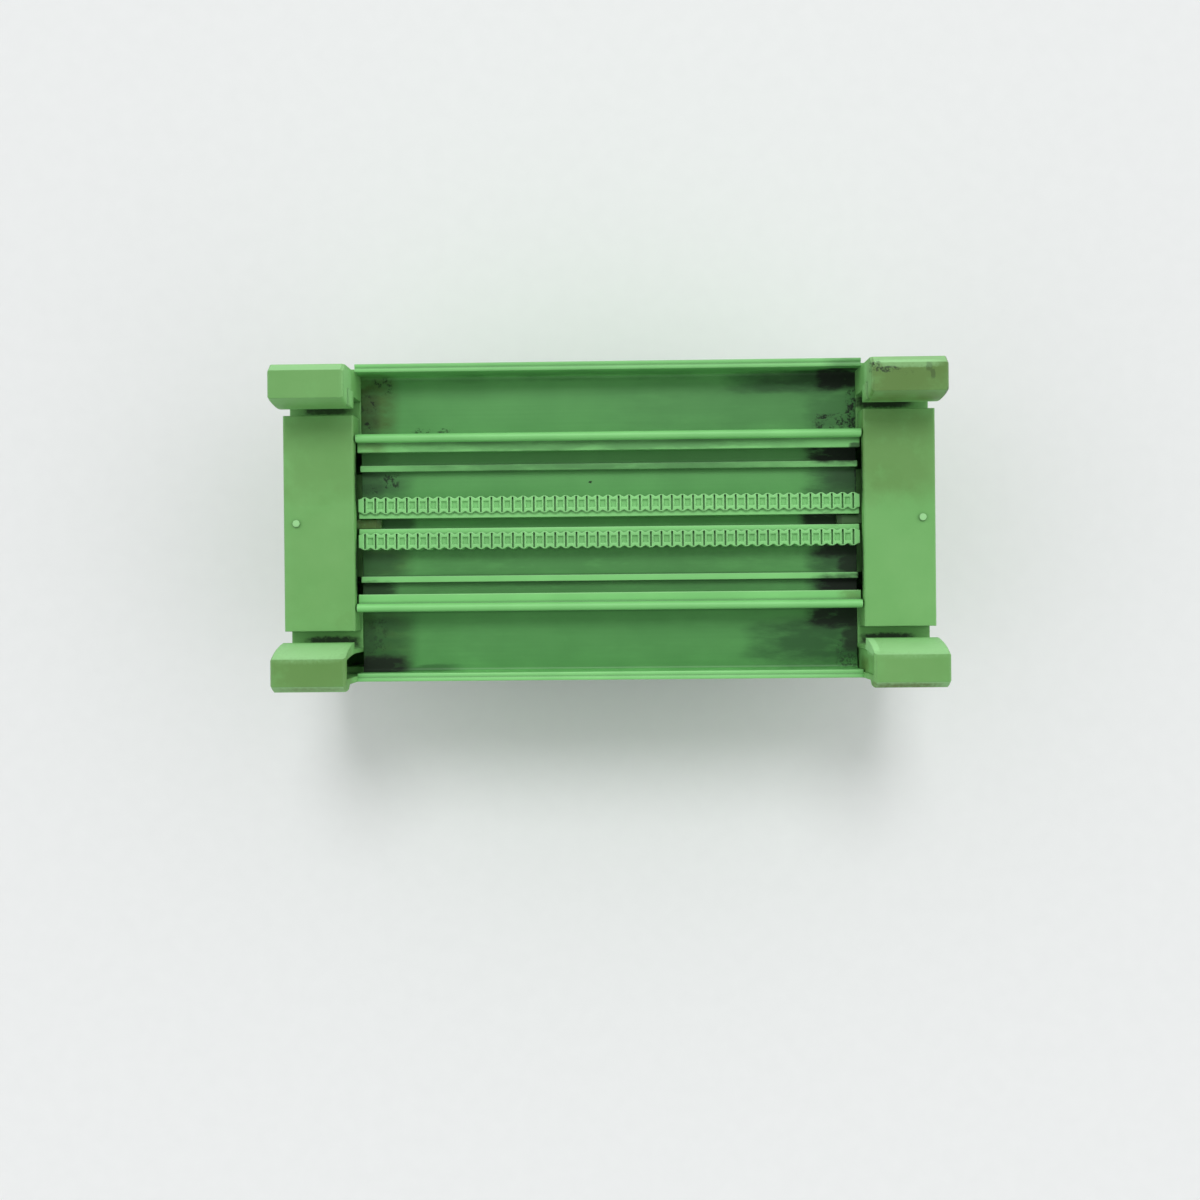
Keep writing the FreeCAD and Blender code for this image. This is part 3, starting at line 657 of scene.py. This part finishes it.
def carve(piece, *cutters):
    """Cut other objects out of a piece, one after the other, and take them away."""
    for cutter in cutters:
        cut = piece.modifiers.new(cutter.name, "BOOLEAN")
        cut.object = cutter
        cut.solver = "EXACT"
    seen = piece.evaluated_get(bpy.context.evaluated_depsgraph_get())
    piece.data = bpy.data.meshes.new_from_object(seen)
    piece.modifiers.clear()
    for cutter in cutters:
        bpy.data.objects.remove(cutter)
    return piece


def place_piece(piece, body, material):
    """Let a new piece ride on a body, in the finish of its slot."""
    piece.data.materials.clear()
    piece.data.materials.append(material)
    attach(piece, body)


def upright(half, low, high):
    """Corners of an upright rectangle: how far aside each lies, and how high."""
    return (-half, low), (half, low), (half, high), (-half, high)


def housing_boxes(row):
    """Boxes of a row's housings."""
    return [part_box(name) for name in row_nodes("terminal_block_" + row)]


def row_frame(row):
    """Wire side of a row, the way into the row, and its poles along X."""
    boxes = housing_boxes(row)
    inwards = -1.0 if boxes[0][0][1] > 0 else 1.0
    wire_side = boxes[0][1][1] if inwards < 0 else boxes[0][0][1]
    poles = []
    for low, high in boxes:
        middle = (low[0] + high[0]) / 2
        poles += [middle + (i - (POLES - 1) / 2) * POLE_PITCH * MM for i in range(POLES)]
    return wire_side, inwards, poles


def terminal_housings(row):
    """Housings of one row: softened blocks with flared wire wells and round screw holes."""
    wire_side, inwards, poles = row_frame(row)
    boxes = housing_boxes(row)
    board = boxes[0][1][2]
    section = [(wire_side + inwards * deep * MM, board - tall * MM) for deep, tall in HOUSING_SECTION]
    blocks = bmesh.new()
    for low, high in boxes:
        run_out(blocks, [(low[0], y, z) for y, z in section], (high[0] - low[0], 0.0, 0.0))
    whole(blocks)
    soft_below = board - HOUSING_FOOT * MM
    sharp = [edge for edge in blocks.edges if min(end.co.z for end in edge.verts) < soft_below]
    bmesh.ops.bevel(
        blocks, geom=sharp, offset=HOUSING_EDGE * MM, affect="EDGES", segments=2, profile=0.5, material=-1,
    )

    wells = bmesh.new()
    holes = bmesh.new()
    half = WELL_WIDTH / 2 * MM
    top, bottom = (board - height * MM for height in WELL_HEIGHTS)
    mouth = wire_side + inwards * WELL_FLARE * MM
    into = (WELL_DEPTH - WELL_FLARE) * MM * inwards
    outside = (WELL_FLARE + CUT_MARGIN) * MM
    flare = 1 + 2 * outside / (WELL_WIDTH * MM)
    axis = wire_side + inwards * SCREW_DEPTH * MM
    hole_end = (board + bottom) / 2 / MM
    hole = (
        (0.0, -CUT_MARGIN), (HOLE_RADIUS + HOLE_FLARE + CUT_MARGIN, -CUT_MARGIN), (HOLE_RADIUS, HOLE_FLARE),
        (HOLE_RADIUS, hole_end), (0.0, hole_end),
    )
    for x in poles:
        outline = [(x + side, mouth, z) for side, z in upright(half, bottom, top)]
        face = run_out(wells, outline, (0.0, into, 0.0))
        lip = push(wells, face, (0.0, -outside * inwards, 0.0))
        bmesh.ops.delete(wells, geom=[face], context="FACES_ONLY")
        centre = Vector((x, wire_side, (top + bottom) / 2))
        bmesh.ops.scale(wells, vec=(flare, 1.0, flare), verts=lip, space=Matrix.Translation(-centre))
        turn_round(holes, hole, x, axis)
    piece = mesh_object("housings_row_" + row, blocks)
    cutters = [mesh_object(name, whole(shape)) for name, shape in (("wells", wells), ("holes", holes))]
    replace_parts(carve(piece, *cutters), *row_nodes("terminal_block_" + row))
    return piece


def clamp_screws(row):
    """Slotted clamp screws of one row, deep in their holes."""
    wire_side, inwards, poles = row_frame(row)
    axis = wire_side + inwards * SCREW_DEPTH * MM
    end = SCREW_RECESS + SCREW_LENGTH
    screw = (
        (0.0, SCREW_RECESS), (SCREW_RADIUS - SCREW_EDGE, SCREW_RECESS),
        (SCREW_RADIUS, SCREW_RECESS + SCREW_EDGE), (SCREW_RADIUS, end), (0.0, end),
    )
    low, high = (SCREW_RECESS - CUT_MARGIN) * MM, (SCREW_RECESS + SLOT_DEPTH) * MM
    reach = (SCREW_RADIUS + CUT_MARGIN) * MM
    screws = bmesh.new()
    slots = bmesh.new()
    for x in poles:
        turn_round(screws, screw, x, axis)
        outline = [(x - reach, axis + side, z) for side, z in upright(SLOT_WIDTH / 2 * MM, low, high)]
        run_out(slots, outline, (2 * reach, 0.0, 0.0))
    piece = mesh_object("screws_row_" + row, whole(screws))
    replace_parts(carve(piece, mesh_object("slots", whole(slots))), "clamp_screws_row_" + row)
    return piece


def pocket_web():
    """Web that closes the pocket behind the right springing hook."""
    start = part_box("base_profile")[1][0] + POCKET_DEPTH * MM
    outline = [(start, across * MM, up * MM) for across, up in POCKET_SECTION]
    shape = bmesh.new()
    run_out(shape, outline, (POCKET_WEB * MM, 0.0, 0.0))
    return mesh_object("right_pocket_web", whole(shape))


class BoardFinish(bpy.types.PropertyGroup):
    """Colours and finishes of the part."""

    profile_colour: bpy.props.FloatVectorProperty(
        name="Profile", description="Extruded profile in full tone", subtype="COLOR", size=4,
        default=linear("78c972"))
    profile_shade: bpy.props.FloatVectorProperty(
        name="Profile shade", description="Duller tone of the profile", subtype="COLOR", size=4,
        default=linear("6ab865"))
    profile_roughness: bpy.props.FloatProperty(
        name="Profile roughness", description="Gloss of the clean profile", subtype="FACTOR",
        default=0.4, min=0.0, max=1.0)
    profile_edge: bpy.props.FloatProperty(
        name="Profile edge", description="How far light rounds the profile's edges", subtype="DISTANCE",
        unit="LENGTH", default=0.16 * MM, min=0.0)
    rim_edge: bpy.props.FloatProperty(
        name="Rim edge", description="How far light rounds the profile's rims", subtype="DISTANCE",
        unit="LENGTH", default=0.35 * MM, min=0.0)
    # Paints rubbed rims and pads, and also painted highlights on the profile's edges and painted sheen on
    # its raised tops
    rim_wear_and_sheen_colour: bpy.props.FloatVectorProperty(
        name="Rims", description="Paler plastic where the profile is rubbed", subtype="COLOR", size=4,
        default=linear("a4e69a"))
    # How far the corners' dirt and painted shade reach out of them
    corner_reach: bpy.props.FloatProperty(
        name="Corner dirt", description="How far dirt reaches out of inner corners", subtype="DISTANCE",
        unit="LENGTH", default=0.5 * MM, min=0.0)
    side_colour: bpy.props.FloatVectorProperty(
        name="Side elements", description="Moulded side elements in full tone", subtype="COLOR", size=4,
        default=linear("75b167"))
    side_shade: bpy.props.FloatVectorProperty(
        name="Side element shade", description="Duller tone of the side elements", subtype="COLOR", size=4,
        default=linear("6dab60"))
    side_edge: bpy.props.FloatProperty(
        name="Side element edge", description="How far light rounds the side elements' edges",
        subtype="DISTANCE", unit="LENGTH", default=0.2 * MM, min=0.0)
    # Paints rubbed edges, rubs and the gates, and also painted highlights on edges, sloped faces and the
    # hooks' noses
    worn_and_highlight_colour: bpy.props.FloatVectorProperty(
        name="Worn edges", description="Paler plastic where edges are rubbed", subtype="COLOR", size=4,
        default=linear("a2dd9a"))
    film_colour: bpy.props.FloatVectorProperty(
        name="Film", description="Olive film of age and handling", subtype="COLOR", size=4,
        default=linear("4e611c"))
    # Paints damp dust, and also painted shade in inner corners and on the upper flange's wall, ledge and
    # thin rib
    damp_and_shade_colour: bpy.props.FloatVectorProperty(
        name="Damp dust", description="Dull dark green of damp dust", subtype="COLOR", size=4,
        default=linear("2b5c2c"))
    # Paints old dirt and grease, and also painted shade in the end gaps and under the hooks' lips
    grime_and_shade_colour: bpy.props.FloatVectorProperty(
        name="Grime", description="Old dirt in the channels", subtype="COLOR", size=4,
        default=linear("101a10"))


class BoardStage(bpy.types.PropertyGroup):
    """Floor, light and camera."""

    floor_size: bpy.props.FloatProperty(
        name="Floor", description="Width of the floor", subtype="DISTANCE", unit="LENGTH", default=3.0)
    north: bpy.props.FloatProperty(
        name="North", description="Soft light from the far side, +Y", default=0.95, min=0.0)
    east: bpy.props.FloatProperty(
        name="East", description="Soft light from the right, +X", default=2.2, min=0.0)
    west: bpy.props.FloatProperty(
        name="West", description="Soft light from the left, -X", default=1.8, min=0.0)
    south: bpy.props.FloatProperty(
        name="South", description="Soft light from the near side, -Y", default=0.3, min=0.0)
    horizon: bpy.props.FloatProperty(
        name="Horizon", description="Even light from all round, none overhead", default=0.12, min=0.0)
    key: bpy.props.FloatProperty(
        name="Key", description="Lamp that stands high on the far side, +Y", default=1.1, min=0.0)
    key_width: bpy.props.FloatProperty(
        name="Key width", description="Angle over which the lamp spreads", subtype="ANGLE", unit="ROTATION",
        default=radians(24))
    key_height: bpy.props.FloatProperty(
        name="Key height", description="Angle at which the lamp stands over the floor", subtype="ANGLE",
        unit="ROTATION", default=radians(57))
    backdrop: bpy.props.FloatVectorProperty(
        name="Backdrop", description="Plain pale colour behind the part", subtype="COLOR", size=4,
        default=linear("e6e8e8"))
    lens: bpy.props.FloatProperty(
        name="Lens", description="Focal length on a 36 mm wide sensor", subtype="DISTANCE_CAMERA",
        default=34.5)
    camera_place: bpy.props.FloatVectorProperty(
        name="Camera place", description="Where the camera stands", subtype="TRANSLATION", unit="LENGTH",
        default=(1.6135 * MM, -10.3133 * MM, 190.3016 * MM), precision=6)
    camera_turn: bpy.props.FloatVectorProperty(
        name="Camera turn", description="How the camera is turned", subtype="EULER", unit="ROTATION",
        default=(-0.0029, 0.0176, -0.0096))


class BOARD_OT_dress_profile(bpy.types.Operator):
    """Dress the extruded profile"""

    bl_idname = "board.dress_profile"
    bl_label = "Dress the profile"

    def execute(self, context):
        dress(extruded_pvc(context.scene.board_finish), "base_profile")
        return {"FINISHED"}


class BOARD_OT_dress_side_elements(bpy.types.Operator):
    """Dress both moulded side elements"""

    bl_idname = "board.dress_side_elements"
    bl_label = "Dress the side elements"

    def execute(self, context):
        green = moulded_polyamide(context.scene.board_finish)
        dress(green, "left_side_element", "right_side_element")
        place_piece(pocket_web(), "carrier", green)
        return {"FINISHED"}


class BOARD_OT_dress_circuit_board(bpy.types.Operator):
    """Dress the circuit board"""

    bl_idname = "board.dress_circuit_board"
    bl_label = "Dress the circuit board"

    def execute(self, context):
        dress(masked_laminate(), "circuit_board")
        return {"FINISHED"}


class BOARD_OT_build_terminals(bpy.types.Operator):
    """Build the terminal housings and their screws, and dress their contacts"""

    bl_idname = "board.build_terminals"
    bl_label = "Build the terminals"

    def execute(self, context):
        housing = moulded_plastic("Terminal polyamide", linear("4f9a5b"), linear("488f54"), 0.42)
        steel = plated_metal("Zinc-plated steel", linear("c4c6c8"), linear("9fa3a6"), 0.3)
        for row in ROWS:
            place_piece(terminal_housings(row), "carrier", housing)
            place_piece(clamp_screws(row), "carrier", steel)
        tinned = plated_metal("Tinned brass", linear("c9c7c0"), linear("aaa79d"), 0.25)
        dress(tinned, *row_nodes("terminal_contacts_"))
        return {"FINISHED"}


class BOARD_OT_dress_header(bpy.types.Operator):
    """Dress the flat-cable header, its pins and its latches"""

    bl_idname = "board.dress_header"
    bl_label = "Dress the header"

    def execute(self, context):
        shell = moulded_plastic("Glass-filled polyester", linear("6f7270"), linear("666967"), 0.5)
        dress(shell, "header_shell")
        lever = moulded_plastic("Black polyester", linear("2c2d2f"), linear("26272a"), 0.45)
        dress(lever, "latch_left", "latch_right")
        dress(plated_metal("Gold-plated bronze", linear("d9b25c"), linear("c79d48"), 0.22), "header_pins")
        return {"FINISHED"}


class BOARD_OT_set_stage(bpy.types.Operator):
    """Set the floor, the light and the camera"""

    bl_idname = "board.set_stage"
    bl_label = "Set the stage"

    def execute(self, context):
        scene = context.scene
        stage = scene.board_stage
        scene.view_settings.view_transform = "Standard"
        shape = bmesh.new()
        bmesh.ops.create_grid(shape, x_segments=1, y_segments=1, size=stage.floor_size / 2)
        floor = mesh_object("floor", shape)
        floor.data.materials.append(pale_card())

        scene.world = soft_sky(stage)
        lamp = bpy.data.lights.new("key lamp", "SUN")
        lamp.energy = stage.key
        lamp.angle = stage.key_width
        key = bpy.data.objects.new("key lamp", lamp)
        key.rotation_euler = Euler((stage.key_height - pi / 2, 0.0, 0.0))
        scene.collection.objects.link(key)

        view = bpy.data.cameras.new("camera")
        view.lens = stage.lens
        view.clip_start = MM
        camera = bpy.data.objects.new("camera", view)
        camera.location = stage.camera_place
        camera.rotation_euler = Euler(stage.camera_turn)
        scene.collection.objects.link(camera)
        scene.camera = camera
        return {"FINISHED"}


STEPS = (
    BOARD_OT_dress_profile,
    BOARD_OT_dress_side_elements,
    BOARD_OT_dress_circuit_board,
    BOARD_OT_build_terminals,
    BOARD_OT_dress_header,
    BOARD_OT_set_stage,
)


class BOARD_PT_steps(bpy.types.Panel):
    """Steps that dress the termination board"""

    bl_label = "Termination board"
    bl_space_type = "VIEW_3D"
    bl_region_type = "UI"
    bl_category = "Termination board"

    def draw(self, context):
        for step in STEPS:
            self.layout.operator(step.bl_idname)


CLASSES = (BoardFinish, BoardStage) + STEPS + (BOARD_PT_steps,)


def register():
    """Make the steps and their settings known to Blender."""
    for kind in CLASSES:
        bpy.utils.register_class(kind)
    bpy.types.Scene.board_finish = bpy.props.PointerProperty(type=BoardFinish)
    bpy.types.Scene.board_stage = bpy.props.PointerProperty(type=BoardStage)


def unregister():
    """Take the steps and their settings out again."""
    del bpy.types.Scene.board_stage
    del bpy.types.Scene.board_finish
    for kind in reversed(CLASSES):
        bpy.utils.unregister_class(kind)


def main():
    """Run every step."""
    register()
    for step in STEPS:
        group, name = step.bl_idname.split(".")
        getattr(getattr(bpy.ops, group), name)()


if __name__ == "__main__":
    main()
